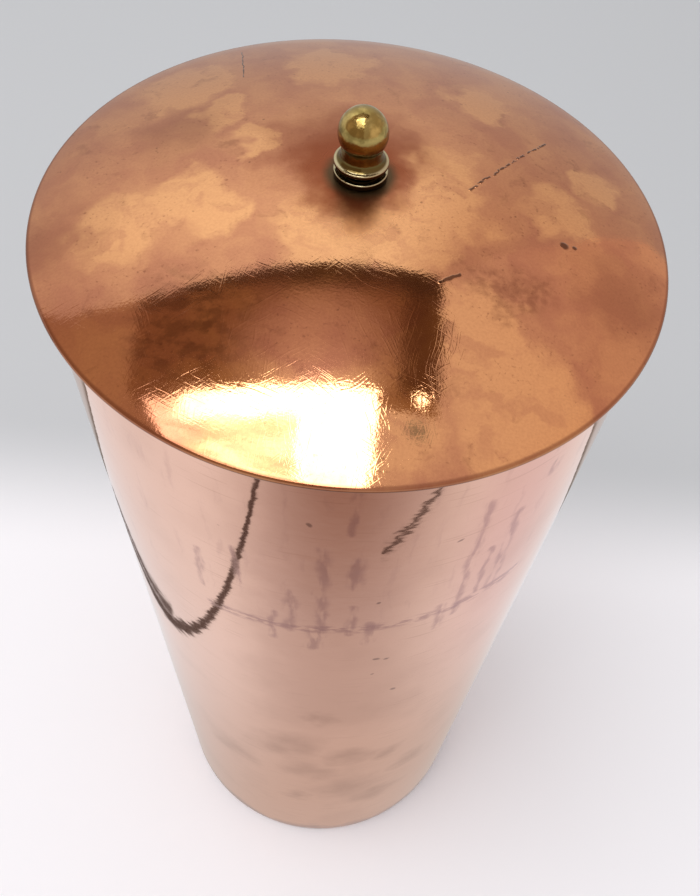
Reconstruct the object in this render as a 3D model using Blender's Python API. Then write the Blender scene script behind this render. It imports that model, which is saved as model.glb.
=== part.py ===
"""A tall copper water jug with a lift-off domed lid and a turned brass knob.

Metres, +Z up. The origin is the centre of the foot, on the surface that the jug stands on.
The vessel is a tapered sheet wall, hemmed at the mouth and flanged at the foot, with a
recessed base pan soldered in. The lid is a dome with a hemmed edge, an inner collar that
drops into the mouth, and a knob held by a screw from below.
"""

import math

import bmesh
import bpy

# ---- Driving dimensions ----

# The vessel
RIM_HEIGHT = 0.2600  # table to the top of the mouth
MOUTH_RADIUS = 0.0578  # outside of the wall at the mouth
FOOT_RADIUS = 0.0542  # outside of the wall at the foot
SHEET = 0.0006  # copper sheet of the wall, the pan, the dome and the collar
MOUTH_HEM_DEPTH = 0.0040  # how far the mouth's folded edge reaches down inside
FOOT_BEND = 0.0015  # bend where the wall turns in under the foot
FOOT_FLANGE = 0.0050  # width of the turned-in foot
BASE_RECESS = 0.0040  # underside of the pan above the table
PAN_BEND = 0.0012

# The lid
LID_OVERHANG = 0.0022  # lid edge outside the wall
CROWN_RADIUS = 0.1636  # sphere that the dome is beaten to
DOME_SKIRT = 0.0040  # width of the straight band that carries the lid's hem
COLLAR_DEPTH = 0.0120  # collar below the mouth's top
COLLAR_LEAD_IN = 0.0010  # how far the collar's lower edge is turned in
COLLAR_LEAD_HEIGHT = 0.0025

# The knob and its fastening
KNOB_FOOT_RADIUS = 0.0036
KNOB_FOOT_HEIGHT = 0.0009
KNOB_FLANGE_RADIUS = 0.0049
KNOB_FLANGE_HEIGHT = 0.0015
KNOB_NECK_RADIUS = 0.0039
KNOB_NECK_HEIGHT = 0.0024
KNOB_BALL_RADIUS = 0.00445
KNOB_BORE_DEPTH = 0.0060
KNOB_WASHER_RADIUS = 0.0049
KNOB_WASHER_THICK = 0.0010
INNER_WASHER_RADIUS = 0.0050
INNER_WASHER_THICK = 0.0008
SCREW_RADIUS = 0.0015
SCREW_HEAD_RADIUS = 0.0030
SCREW_HEAD_HEIGHT = 0.0018
SCREW_SLOT_WIDTH = 0.0008
SCREW_SLOT_DEPTH = 0.0008
SOLDER_LEG = 0.0020  # both legs of a solder fillet

# Clearances
GAP = 0.0003  # between pieces that touch
HEM_GAP = 0.0003  # inside a folded hem
COLLAR_CLEARANCE = 0.0008  # collar inside the mouth, on the radius
COLLAR_TO_HEM = 0.0005  # lid's hem stops this far outside the collar
SCREW_CLEARANCE = 0.0003  # on the radius, in every hole the screw passes
SCREW_TIP_CLEARANCE = 0.0005

# How finely round things are divided
LARGE_STEPS = 60
SMALL_STEPS = 24
BEND_STEPS = 3
DOME_STEPS = 9
BALL_STEPS = 9
CUTTER_MARGIN = 0.0010

# ---- Derived places ----

TAPER = (MOUTH_RADIUS - FOOT_RADIUS) / RIM_HEIGHT
HEM_PITCH = SHEET + HEM_GAP  # middle of one layer of a hem to the middle of the other
HEM_BEND = 0.45 * HEM_PITCH
HOLE_RADIUS = SCREW_RADIUS + SCREW_CLEARANCE
LID_RADIUS = MOUTH_RADIUS + LID_OVERHANG


def wall_outside(height):
    """Radius of the wall's outer face at a height."""
    return FOOT_RADIUS + TAPER * height


def wall_inside(height):
    return wall_outside(height) - SHEET


HEM_BORE = MOUTH_RADIUS - SHEET - HEM_PITCH - TAPER * MOUTH_HEM_DEPTH
WALL_BORE = wall_inside(RIM_HEIGHT - COLLAR_DEPTH)
COLLAR_RADIUS = min(HEM_BORE, WALL_BORE) - COLLAR_CLEARANCE

# The lid's own heights are measured from the mouth's top. The straight band of the dome
# lies on the rounded mouth, GAP above it, which sets how high the whole lid sits.
BAND_RADIUS = LID_RADIUS - DOME_SKIRT
BAND_ANGLE = math.asin(BAND_RADIUS / CROWN_RADIUS)
MOUTH_ARC_RADIUS = MOUTH_RADIUS - SHEET / 2 - HEM_BEND
MOUTH_ARC_HEIGHT = -SHEET / 2 - HEM_BEND
BAND_OFFSET = HEM_BEND + SHEET + GAP + HEM_PITCH
BAND_HEIGHT = MOUTH_ARC_HEIGHT + (
    BAND_OFFSET - (BAND_RADIUS - MOUTH_ARC_RADIUS) * math.sin(BAND_ANGLE)
) / math.cos(BAND_ANGLE)
CROWN_CENTRE = BAND_HEIGHT - CROWN_RADIUS * math.cos(BAND_ANGLE)
DOME_TOP = CROWN_CENTRE + CROWN_RADIUS + SHEET / 2


def under_dome(radius):
    """Height of the dome's underside above the mouth."""
    return CROWN_CENTRE + math.sqrt((CROWN_RADIUS - SHEET / 2) ** 2 - radius**2)


# ---- Outlines, as (radius, height) points ----


def arc(centre, radius, start, end, steps):
    """Points on a circle, from one angle to another in degrees, both ends included."""
    angles = [math.radians(start + (end - start) * i / steps) for i in range(steps + 1)]
    return [(centre[0] + radius * math.cos(a), centre[1] + radius * math.sin(a)) for a in angles]


def towards(start, end, distance):
    length = math.dist(start, end)
    return tuple(s + (e - s) * distance / length for s, e in zip(start, end))


def bent(corners):
    """A path through (radius, height, bend radius) corners, each corner rounded to its bend."""
    points = []
    for i, (x, z, bend) in enumerate(corners):
        if not bend:
            points.append((x, z))
            continue
        here, before, after = (x, z), corners[i - 1][:2], corners[i + 1][:2]
        arm_in = math.atan2(before[1] - z, before[0] - x)
        arm_out = math.atan2(after[1] - z, after[0] - x)
        half = (arm_out - arm_in + math.pi) % (2 * math.pi) - math.pi
        half /= 2
        reach = bend / math.tan(abs(half))
        middle = towards(here, (x + math.cos(arm_in + half), z + math.sin(arm_in + half)),
                         bend / math.sin(abs(half)))
        first = towards(here, before, reach)
        start = math.degrees(math.atan2(first[1] - middle[1], first[0] - middle[0]))
        sweep = math.copysign(180 - math.degrees(2 * abs(half)), -half)
        points += arc(middle, bend, start, start + sweep, BEND_STEPS)
    return points


def sheet_outline(path, thickness):
    """The outline of a sheet whose middle follows the path."""
    left, right = [], []
    for i, point in enumerate(path):
        ahead = path[min(i + 1, len(path) - 1)]
        behind = path[max(i - 1, 0)]
        a = math.atan2(point[1] - behind[1], point[0] - behind[0])
        b = math.atan2(ahead[1] - point[1], ahead[0] - point[0])
        a, b = (b, b) if point == behind else (a, a) if point == ahead else (a, b)
        turn = (b - a + math.pi) % (2 * math.pi) - math.pi
        reach = thickness / 2 / math.cos(turn / 2)
        side = a + turn / 2 + math.pi / 2
        left.append((point[0] + reach * math.cos(side), point[1] + reach * math.sin(side)))
        right.append((point[0] - reach * math.cos(side), point[1] - reach * math.sin(side)))
    return left + right[::-1]


# ---- Making pieces ----


def finish(name, base_color, roughness, metallic=1.0):
    made = bpy.data.materials.new(name)
    made.use_nodes = True
    shader = made.node_tree.nodes["Principled BSDF"]
    shader.inputs["Base Color"].default_value = (*base_color, 1.0)
    shader.inputs["Roughness"].default_value = roughness
    shader.inputs["Metallic"].default_value = metallic
    return made


def group(name, height):
    """An empty that carries the pieces of one body."""
    empty = bpy.data.objects.new(name, None)
    empty.location.z = height
    bpy.context.scene.collection.objects.link(empty)
    return empty


def turned(name, outline, steps, material, parent):
    """Spins an outline round the axis. One that starts and ends on the axis is left open there."""
    shape = bmesh.new()
    verts = [shape.verts.new((x, 0, z)) for x, z in outline]
    edges = [shape.edges.new(pair) for pair in zip(verts, verts[1:])]
    if outline[0][0] > 0:
        edges.append(shape.edges.new((verts[-1], verts[0])))
    bmesh.ops.spin(shape, geom=verts + edges, cent=(0, 0, 0), axis=(0, 0, 1),
                   angle=math.tau, steps=steps, use_merge=True)
    bmesh.ops.remove_doubles(shape, verts=shape.verts, dist=1e-6)
    bmesh.ops.recalc_face_normals(shape, faces=shape.faces)
    mesh = bpy.data.meshes.new(name)
    shape.to_mesh(mesh)
    shape.free()
    mesh.shade_smooth()
    mesh.set_sharp_from_angle(angle=math.radians(35))
    mesh.materials.append(material)
    piece = bpy.data.objects.new(name, mesh)
    bpy.context.scene.collection.objects.link(piece)
    piece.parent = parent
    return piece


def cut_slot(piece, width, depth, bottom, reach):
    """Cuts a screwdriver slot up into a piece from its bottom."""
    mesh = bpy.data.meshes.new("slot_cutter")
    shape = bmesh.new()
    bmesh.ops.create_cube(shape, size=1)
    low = bottom - CUTTER_MARGIN
    high = bottom + depth
    bmesh.ops.scale(shape, vec=(2 * reach, width, high - low), verts=shape.verts)
    bmesh.ops.translate(shape, vec=(0, 0, (low + high) / 2), verts=shape.verts)
    shape.to_mesh(mesh)
    shape.free()
    cutter = bpy.data.objects.new("slot_cutter", mesh)
    bpy.context.scene.collection.objects.link(cutter)
    cutter.parent = piece.parent
    cutter.hide_render = True
    cutter.display_type = "WIRE"
    slot = piece.modifiers.new("slot", "BOOLEAN")
    slot.object = cutter


def washer(name, radius, bottom, thickness, material, parent):
    top = bottom + thickness
    outline = [(HOLE_RADIUS, top), (radius, top), (radius, bottom), (HOLE_RADIUS, bottom)]
    return turned(name, outline, SMALL_STEPS, material, parent)


# ---- The vessel ----


def make_body_shell(copper, vessel):
    """Mouth hem, tapered wall and turned-in foot, one sheet from end to end."""
    wall = MOUTH_RADIUS - SHEET / 2
    hem = wall - HEM_PITCH
    top = RIM_HEIGHT - SHEET / 2
    foot = FOOT_RADIUS - SHEET / 2
    path = bent([
        (hem - TAPER * MOUTH_HEM_DEPTH, RIM_HEIGHT - MOUTH_HEM_DEPTH, 0),
        (hem, top, HEM_BEND),
        (wall, top, HEM_BEND),
        (foot, SHEET / 2, FOOT_BEND),
        (foot - FOOT_FLANGE, SHEET / 2, 0),
    ])
    return turned("body_shell", sheet_outline(path, SHEET), LARGE_STEPS, copper, vessel)


def make_base_plate(copper, vessel):
    """A shallow pan, open side down, that sits up inside the foot."""
    middle = BASE_RECESS + SHEET / 2
    low = SHEET / 2 + FOOT_BEND + GAP
    path = bent([
        (0, middle, 0),
        (wall_inside(low) - GAP - SHEET / 2, middle, PAN_BEND),
        (wall_inside(low) - GAP - SHEET / 2, low, 0),
    ])
    return turned("base_plate", sheet_outline(path, SHEET), LARGE_STEPS, copper, vessel)


def make_base_solder_ring(solder, vessel):
    """The solder fillet in the corner between the pan and the wall."""
    low = BASE_RECESS + SHEET + GAP
    high = low + SOLDER_LEG
    outer = wall_inside(low) - GAP
    outline = [
        (wall_inside(high) - GAP, high),
        (outer, low),
        (outer - SOLDER_LEG, low),
        (outer - SOLDER_LEG / 3, low + SOLDER_LEG / 3),
    ]
    return turned("base_solder_ring", outline, LARGE_STEPS, solder, vessel)


# ---- The lid ----


def make_lid_dome(copper, lid):
    """A dome pierced for the screw. Its straight band is hemmed under, up to the collar."""
    hole = math.degrees(math.asin(HOLE_RADIUS / CROWN_RADIUS))
    crown = arc((0, CROWN_CENTRE), CROWN_RADIUS, 90 - hole, 90 - math.degrees(BAND_ANGLE), DOME_STEPS)
    slope = (math.cos(BAND_ANGLE), -math.sin(BAND_ANGLE))
    inward = (-math.sin(BAND_ANGLE), -math.cos(BAND_ANGLE))
    # A rounded corner falls short of its point, so the corner stands out by this much more.
    short = HEM_BEND * (slope[0] - slope[1] - 1)
    edge = LID_RADIUS - SHEET / 2 + short
    upper = (edge, BAND_HEIGHT + (edge - BAND_RADIUS) * slope[1] / slope[0])
    lower = (upper[0] + HEM_PITCH * inward[0], upper[1] + HEM_PITCH * inward[1])
    end = COLLAR_RADIUS + COLLAR_TO_HEM
    tip = (end, lower[1] + (end - lower[0]) * slope[1] / slope[0])
    path = bent([(x, z, 0) for x, z in crown] + [(*upper, HEM_BEND), (*lower, HEM_BEND), (*tip, 0)])
    return turned("lid_dome", sheet_outline(path, SHEET), LARGE_STEPS, copper, lid)


def make_lid_collar(copper, lid):
    """The ring that drops into the mouth and keeps the lid from sliding off."""
    middle = COLLAR_RADIUS - SHEET / 2
    top = under_dome(COLLAR_RADIUS) - GAP
    path = bent([
        (middle, top, 0),
        (middle, COLLAR_LEAD_HEIGHT - COLLAR_DEPTH, COLLAR_LEAD_HEIGHT),
        (middle - COLLAR_LEAD_IN, -COLLAR_DEPTH, 0),
    ])
    return turned("lid_collar", sheet_outline(path, SHEET), LARGE_STEPS, copper, lid)


def make_collar_solder_ring(solder, lid):
    """The solder fillet in the corner between the collar and the dome."""
    outer = COLLAR_RADIUS - SHEET - GAP
    inner = outer - SOLDER_LEG
    high = under_dome(outer) - GAP
    outline = [
        (inner, under_dome(inner) - GAP),
        (outer, high),
        (outer, high - SOLDER_LEG),
        (outer - SOLDER_LEG / 3, high - SOLDER_LEG / 3),
    ]
    return turned("collar_solder_ring", outline, LARGE_STEPS, solder, lid)


def make_knob(brass, lid, seat):
    """A turned ball on a neck, a flange and a foot, with a blind bore for the screw."""
    flange_low = seat + KNOB_FOOT_HEIGHT
    flange_high = flange_low + KNOB_FLANGE_HEIGHT
    neck_top = flange_high + KNOB_NECK_HEIGHT
    lift = math.sqrt(KNOB_BALL_RADIUS**2 - KNOB_NECK_RADIUS**2)
    under = math.degrees(math.atan2(-lift, KNOB_NECK_RADIUS))
    cove = KNOB_FLANGE_RADIUS - KNOB_NECK_RADIUS
    outline = arc((0, neck_top + lift), KNOB_BALL_RADIUS, 90, under, BALL_STEPS)
    outline[0] = (0, neck_top + lift + KNOB_BALL_RADIUS)
    outline += arc((KNOB_NECK_RADIUS + cove, flange_high + cove / 2), cove, 180, 225, BEND_STEPS)
    outline += [
        (KNOB_FLANGE_RADIUS, flange_high - KNOB_FLANGE_HEIGHT / 2),
        (KNOB_FLANGE_RADIUS, flange_low),
        (KNOB_FOOT_RADIUS, flange_low),
        (KNOB_FOOT_RADIUS, seat),
        (HOLE_RADIUS, seat),
        (HOLE_RADIUS, seat + KNOB_BORE_DEPTH),
        (0, seat + KNOB_BORE_DEPTH),
    ]
    return turned("knob", outline, SMALL_STEPS, brass, lid)


def make_knob_screw(steel, lid, head_top, tip):
    """A slotted screw, head below, that pulls the knob down onto the lid."""
    head_low = head_top - SCREW_HEAD_HEIGHT
    bend = SCREW_HEAD_HEIGHT / 2
    outline = [
        (0, tip),
        (SCREW_RADIUS * 0.7, tip),
        (SCREW_RADIUS, tip - SCREW_RADIUS * 0.3),
        (SCREW_RADIUS, head_top),
        (SCREW_HEAD_RADIUS, head_top),
    ]
    outline += arc((SCREW_HEAD_RADIUS - bend, head_low + bend), bend, 0, -90, BEND_STEPS)
    outline += [(0, head_low)]
    screw = turned("knob_screw", outline, SMALL_STEPS, steel, lid)
    cut_slot(screw, SCREW_SLOT_WIDTH, SCREW_SLOT_DEPTH, head_low, SCREW_HEAD_RADIUS + CUTTER_MARGIN)
    return screw


def main():
    for old in list(bpy.data.objects):
        bpy.data.objects.remove(old)

    copper = finish("polished_copper", (0.78, 0.44, 0.33), 0.16)
    lid_copper = finish("aged_copper", (0.72, 0.36, 0.20), 0.24)
    brass = finish("turned_brass", (0.62, 0.48, 0.18), 0.22)
    solder = finish("tin_solder", (0.50, 0.49, 0.46), 0.45)
    steel = finish("plated_steel", (0.56, 0.55, 0.52), 0.35)

    vessel = group("vessel", 0)
    make_body_shell(copper, vessel)
    make_base_plate(copper, vessel)
    make_base_solder_ring(solder, vessel)

    lid = group("lid", RIM_HEIGHT)
    make_lid_dome(lid_copper, lid)
    make_lid_collar(lid_copper, lid)
    make_collar_solder_ring(solder, lid)

    washer_low = DOME_TOP + GAP
    seat = washer_low + KNOB_WASHER_THICK + GAP
    washer("knob_washer", KNOB_WASHER_RADIUS, washer_low, KNOB_WASHER_THICK, brass, lid)
    make_knob(brass, lid, seat)

    inner_high = under_dome(INNER_WASHER_RADIUS) - GAP
    inner_low = inner_high - INNER_WASHER_THICK
    washer("inner_washer", INNER_WASHER_RADIUS, inner_low, INNER_WASHER_THICK, steel, lid)
    make_knob_screw(steel, lid, inner_low - GAP, seat + KNOB_BORE_DEPTH - SCREW_TIP_CLEARANCE)


main()
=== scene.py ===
# %% [markdown]
# # A copper water jug with a brass knob
#
# The real jug is two things that come apart: a tall wall of copper sheet, closed below by a
# pan, and a domed lid that drops into its mouth. Everything that shows is polished metal, and
# polished metal shows mostly the room round it, tinted. So this lesson spends its cells on
# three things: true round shapes, the marks on the metal, and the room that the metal
# reflects.

# %% Load the frame
import math

import bmesh
import bpy
from mathutils import Matrix, Vector, noise


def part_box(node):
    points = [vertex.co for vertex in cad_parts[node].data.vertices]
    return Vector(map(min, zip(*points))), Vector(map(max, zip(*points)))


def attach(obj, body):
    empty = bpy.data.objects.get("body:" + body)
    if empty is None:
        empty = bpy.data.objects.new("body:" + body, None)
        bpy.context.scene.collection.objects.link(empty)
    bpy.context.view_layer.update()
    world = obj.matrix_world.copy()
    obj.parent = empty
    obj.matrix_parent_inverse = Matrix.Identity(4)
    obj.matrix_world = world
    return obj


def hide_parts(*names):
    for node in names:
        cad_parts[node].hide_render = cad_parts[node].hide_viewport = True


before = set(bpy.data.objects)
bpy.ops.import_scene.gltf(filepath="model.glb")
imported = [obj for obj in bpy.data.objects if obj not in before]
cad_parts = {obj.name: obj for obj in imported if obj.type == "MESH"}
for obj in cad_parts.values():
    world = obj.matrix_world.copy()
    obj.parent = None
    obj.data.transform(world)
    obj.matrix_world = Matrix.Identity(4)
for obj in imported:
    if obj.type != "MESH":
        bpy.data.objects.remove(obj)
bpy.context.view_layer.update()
MM = 0.001

# %% [markdown]
# ## Sizes
#
# A turned object is described by a few radii and heights. The outer ones are read from the
# frame, so that each finer piece lies exactly where its plain solid does. The sheet's
# thickness and the bends are a maker's choices, and they are written down once.

# %% Sizes of the sheet work
SHEET = 0.6 * MM
HEM_GAP = 0.3 * MM
HEM_PITCH = SHEET + HEM_GAP
HEM_BEND = 0.45 * HEM_PITCH
MOUTH_HEM_DEPTH = 4.0 * MM
FOOT_BEND = 1.5 * MM
FOOT_FLANGE = 5.0 * MM
FOOT_RADIUS = 54.2 * MM
CROWN_RADIUS = 163.6 * MM
DOME_SKIRT = 4.0 * MM
FASTENER_HOLE = 1.8 * MM
COLLAR_TO_HEM = 0.5 * MM
GAP = 0.3 * MM

rim_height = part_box("body_shell")[1].z
mouth_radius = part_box("body_shell")[1].x
lid_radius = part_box("lid_dome")[1].x
collar_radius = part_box("lid_collar")[1].x
taper = (mouth_radius - FOOT_RADIUS) / rim_height
print("mouth radius", round(mouth_radius / MM, 2), "lid radius", round(lid_radius / MM, 2))

# %% [markdown]
# ## Outlines and turning
#
# A spinner works from a paper template of half the section. These helpers draw the same
# template as (radius, height) points: a path with rounded corners for the middle of the
# sheet, and then its two faces. A long straight run is divided, because the wall is given a
# little unevenness later and needs points to carry it. Blender's spin operator then turns
# the template round the axis, as the Screw modifier would, but with the mesh in hand.

# %% Outline helpers
BEND_STEPS = 5


def arc(centre, radius, start, end, steps):
    """Points on a circle, from one angle to another in degrees."""
    angles = [math.radians(start + (end - start) * i / steps) for i in range(steps + 1)]
    return [(centre[0] + radius * math.cos(a), centre[1] + radius * math.sin(a)) for a in angles]


def bent(corners):
    """A path through (radius, height, bend) corners, each corner rounded to its bend."""
    points = []
    for i, (x, z, bend) in enumerate(corners):
        if not bend:
            points.append((x, z))
            continue
        here = Vector((x, z))
        into = (Vector(corners[i - 1][:2]) - here).normalized()
        out = (Vector(corners[i + 1][:2]) - here).normalized()
        half = into.angle(out) / 2
        middle = here + (into + out).normalized() * bend / math.sin(half)
        first = here + into * bend / math.tan(half) - middle
        sweep = (math.pi - 2 * half) * (1 if into.cross(out) < 0 else -1)
        for step in range(BEND_STEPS + 1):
            points.append(tuple(middle + Matrix.Rotation(sweep * step / BEND_STEPS, 2) @ first))
    return points


def divided(path, longest):
    """The same path with no run longer than a given length."""
    points = [path[0]]
    for start, end in zip(path, path[1:]):
        count = max(1, math.ceil(math.dist(start, end) / longest))
        for step in range(1, count + 1):
            points.append(tuple(s + (e - s) * step / count for s, e in zip(start, end)))
    return points


def sheet_outline(path):
    """Both faces of a sheet whose middle follows the path, as one outline."""
    left, right = [], []
    for i, point in enumerate(path):
        here = Vector(point)
        before = (here - Vector(path[i - 1])).normalized() if i else None
        after = (Vector(path[i + 1]) - here).normalized() if i + 1 < len(path) else None
        before, after = before or after, after or before
        along = (before + after).normalized()
        side = Vector((-along.y, along.x)) * SHEET / 2 / along.dot(before)
        left.append(tuple(here + side))
        right.append(tuple(here - side))
    return left + right[::-1]


# %% Turning
LARGE_STEPS = 288
SMALL_STEPS = 96


def turned(name, outline, steps, body, replaced):
    """A piece spun from its outline, standing for one node of the frame."""
    shape = bmesh.new()
    verts = [shape.verts.new((x, 0, z)) for x, z in outline]
    edges = [shape.edges.new(pair) for pair in zip(verts, verts[1:])]
    if outline[0][0] > 0:
        edges.append(shape.edges.new((verts[-1], verts[0])))
    bmesh.ops.spin(shape, geom=verts + edges, cent=(0, 0, 0), axis=(0, 0, 1),
                   angle=math.tau, steps=steps, use_merge=True)
    bmesh.ops.remove_doubles(shape, verts=shape.verts, dist=1e-6)
    bmesh.ops.recalc_face_normals(shape, faces=shape.faces)
    mesh = bpy.data.meshes.new(name)
    shape.to_mesh(mesh)
    shape.free()
    mesh.shade_smooth()
    mesh.set_sharp_from_angle(angle=math.radians(38))
    piece = bpy.data.objects.new(name, mesh)
    bpy.context.scene.collection.objects.link(piece)
    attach(piece, body)
    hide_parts(replaced)
    print(name, "has", len(mesh.polygons), "faces")
    return piece


# %% [markdown]
# ## The wall
#
# The wall is one sheet: folded in at the mouth so that the edge is round and stiff, and
# turned in at the foot so that it stands flat. Rolled sheet is never perfectly round. A wave
# of a few hundredths of a millimetre is too small to see as shape, yet it makes every
# straight edge that the wall mirrors wander, as it does on the real thing.

# %% Wall
WALL_RUN = 2.5 * MM
WALL_WAVE = 0.030 * MM
WAVE_LENGTH = 42 * MM


def uneven(piece, height, length, low, high, fade, lean=(1, 1, 1)):
    """Moves the points between two heights along their direction from the axis, by soft noise."""
    for vert in piece.data.vertices:
        reach = min(1, max(0, (vert.co.z - low) / fade), max(0, (high - vert.co.z) / fade))
        place = Vector(c * k for c, k in zip(vert.co, lean)) / length
        out = Vector((vert.co.x, vert.co.y, 0)).normalized()
        vert.co += out * noise.noise(place) * height * max(0, reach)


wall = mouth_radius - SHEET / 2
hem = wall - HEM_PITCH
foot = FOOT_RADIUS - SHEET / 2
wall_path = bent([
    (hem - taper * MOUTH_HEM_DEPTH, rim_height - MOUTH_HEM_DEPTH, 0),
    (hem, rim_height - SHEET / 2, HEM_BEND),
    (wall, rim_height - SHEET / 2, HEM_BEND),
    (foot, SHEET / 2, FOOT_BEND),
    (foot - FOOT_FLANGE, SHEET / 2, 0),
])
jug_wall = turned("jug_wall", sheet_outline(divided(wall_path, WALL_RUN)), LARGE_STEPS,
                  "vessel", "body_shell")
uneven(jug_wall, WALL_WAVE, WAVE_LENGTH, 6 * MM, rim_height - 8 * MM, 20 * MM, (1, 1, 0.55))

# %% [markdown]
# ## The lid
#
# The dome is a shallow cap of a sphere that ends in a straight band, and the band's edge is
# folded under to a round bead. It is planished by hand, so it also gets a faint unevenness,
# this time up and down. The band rests on the mouth, which fixes how high the dome sits.

# %% Dome
DOME_STEPS = 40
DOME_WAVE = 0.022 * MM
PLANISH_LENGTH = 17 * MM

band_radius = lid_radius - DOME_SKIRT
band_angle = math.asin(band_radius / CROWN_RADIUS)
mouth_arc = (wall - HEM_BEND, rim_height - SHEET / 2 - HEM_BEND)
band_offset = HEM_BEND + SHEET + GAP + HEM_PITCH
band_lift = band_offset - (band_radius - mouth_arc[0]) * math.sin(band_angle)
band_height = mouth_arc[1] + band_lift / math.cos(band_angle)
crown_centre = band_height - CROWN_RADIUS * math.cos(band_angle)

slope = Vector((math.cos(band_angle), -math.sin(band_angle)))
inward = Vector((-math.sin(band_angle), -math.cos(band_angle)))
edge = lid_radius - SHEET / 2 + HEM_BEND * (slope.x - slope.y - 1)
upper = Vector((edge, band_height + (edge - band_radius) * slope.y / slope.x))
lower = upper + inward * HEM_PITCH
tip = lower + slope * (collar_radius + COLLAR_TO_HEM - lower.x) / slope.x
hole_angle = math.degrees(math.asin(FASTENER_HOLE / CROWN_RADIUS))
crown = arc((0, crown_centre), CROWN_RADIUS, 90 - hole_angle, 90 - math.degrees(band_angle),
            DOME_STEPS)
dome_path = bent([(x, z, 0) for x, z in crown]
                 + [(*upper, HEM_BEND), (*lower, HEM_BEND), (*tip, 0)])
lid_dome = turned("lid_sheet", sheet_outline(dome_path), LARGE_STEPS, "lid", "lid_dome")
for vert in lid_dome.data.vertices:
    from_axis = math.hypot(vert.co.x, vert.co.y)
    reach = min(1, max(0, (from_axis - 8 * MM) / (8 * MM)), max(0, (band_radius - from_axis) / (8 * MM)))
    place = Vector((vert.co.x, vert.co.y, 0)) / PLANISH_LENGTH
    vert.co.z += noise.fractal(place, 1.0, 2.0, 2) * DOME_WAVE * reach

# %% [markdown]
# ## The knob
#
# The knob was turned from brass bar: a ball, a waist, a flange and a foot. The outline follows
# the plain solid's, with more points, the waist hollowed out in one sweep with the top of the
# flange, and small roundings where a file broke the corners.

# %% Knob and washer
KNOB_FOOT_RADIUS = 3.6 * MM
KNOB_FOOT_HEIGHT = 0.9 * MM
KNOB_LIP_HEIGHT = 0.75 * MM
KNOB_WAIST_RADIUS = 3.7 * MM
KNOB_BALL_RADIUS = 4.45 * MM
KNOB_BORE_DEPTH = 6.0 * MM
BROKEN_CORNER = 0.18 * MM

flange_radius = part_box("knob")[1].x
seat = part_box("knob")[0].z
flange_low = seat + KNOB_FOOT_HEIGHT
lip = flange_low + KNOB_LIP_HEIGHT
ball_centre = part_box("knob")[1].z - KNOB_BALL_RADIUS
ball_under = -math.degrees(math.acos(KNOB_WAIST_RADIUS / KNOB_BALL_RADIUS))
ball = arc((0, ball_centre), KNOB_BALL_RADIUS, 90, ball_under, 36)
ball[0] = (0, ball_centre + KNOB_BALL_RADIUS)
hollow = flange_radius - KNOB_WAIST_RADIUS
waist = arc((flange_radius, lip + hollow), hollow, 180, 262, 16)
foot_path = bent([
    (*waist[-1], 0),
    (flange_radius, lip, BROKEN_CORNER),
    (flange_radius, flange_low, BROKEN_CORNER),
    (KNOB_FOOT_RADIUS, flange_low, 0),
    (KNOB_FOOT_RADIUS, seat, BROKEN_CORNER),
    (FASTENER_HOLE, seat, 0),
    (FASTENER_HOLE, seat + KNOB_BORE_DEPTH, 0),
    (0, seat + KNOB_BORE_DEPTH, 0),
])
brass_knob = turned("brass_knob", ball + waist + foot_path[1:], SMALL_STEPS, "lid", "knob")

washer_low, washer_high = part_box("knob_washer")
washer_path = bent([
    (FASTENER_HOLE, washer_high.z, 0),
    (washer_high.x, washer_high.z, BROKEN_CORNER),
    (washer_high.x, washer_low.z, BROKEN_CORNER),
    (FASTENER_HOLE, washer_low.z, 0),
])
washer = turned("brass_washer", washer_path, SMALL_STEPS, "lid", "knob_washer")

# %% [markdown]
# ## Pan, collar, solder and inner washer
#
# These pieces only show when the lid is off or the jug is tipped. The pan closes the foot
# from above, open side down, so that the jug stands on its wall. The collar drops into the
# mouth. Each is sweated in with tin solder, which leaves a small hollow fillet.

# %% Hidden pieces
PAN_BEND = 1.2 * MM
SOLDER_LEG = 2.0 * MM
COLLAR_DEPTH = 12.0 * MM
COLLAR_LEAD_IN = 1.0 * MM
COLLAR_LEAD_HEIGHT = 2.5 * MM


def hollow_fillet(inner, outer):
    """The hollow between two ends of a solder fillet, seen in section."""
    width, height = inner[0] - outer[0], outer[1] - inner[1]
    angles = [math.radians(15 * i) for i in range(1, 6)]
    return [(outer[0] + width * (1 - math.sin(a)), inner[1] + height * (1 - math.cos(a)))
            for a in angles]


pan_low, pan_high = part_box("base_plate")
pan_path = bent([
    (0, pan_high.z - SHEET / 2, 0),
    (pan_high.x - SHEET / 2, pan_high.z - SHEET / 2, PAN_BEND),
    (pan_high.x - SHEET / 2, pan_low.z, 0),
])
pan = turned("foot_pan", sheet_outline(divided(pan_path, 6 * MM)), LARGE_STEPS, "vessel", "base_plate")

collar_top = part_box("lid_collar")[1].z
collar_path = bent([
    (collar_radius - SHEET / 2, collar_top, 0),
    (collar_radius - SHEET / 2, rim_height - COLLAR_DEPTH + COLLAR_LEAD_HEIGHT, COLLAR_LEAD_HEIGHT),
    (collar_radius - SHEET / 2 - COLLAR_LEAD_IN, rim_height - COLLAR_DEPTH, 0),
])
collar = turned("mouth_collar", sheet_outline(collar_path), LARGE_STEPS, "lid", "lid_collar")

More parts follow.
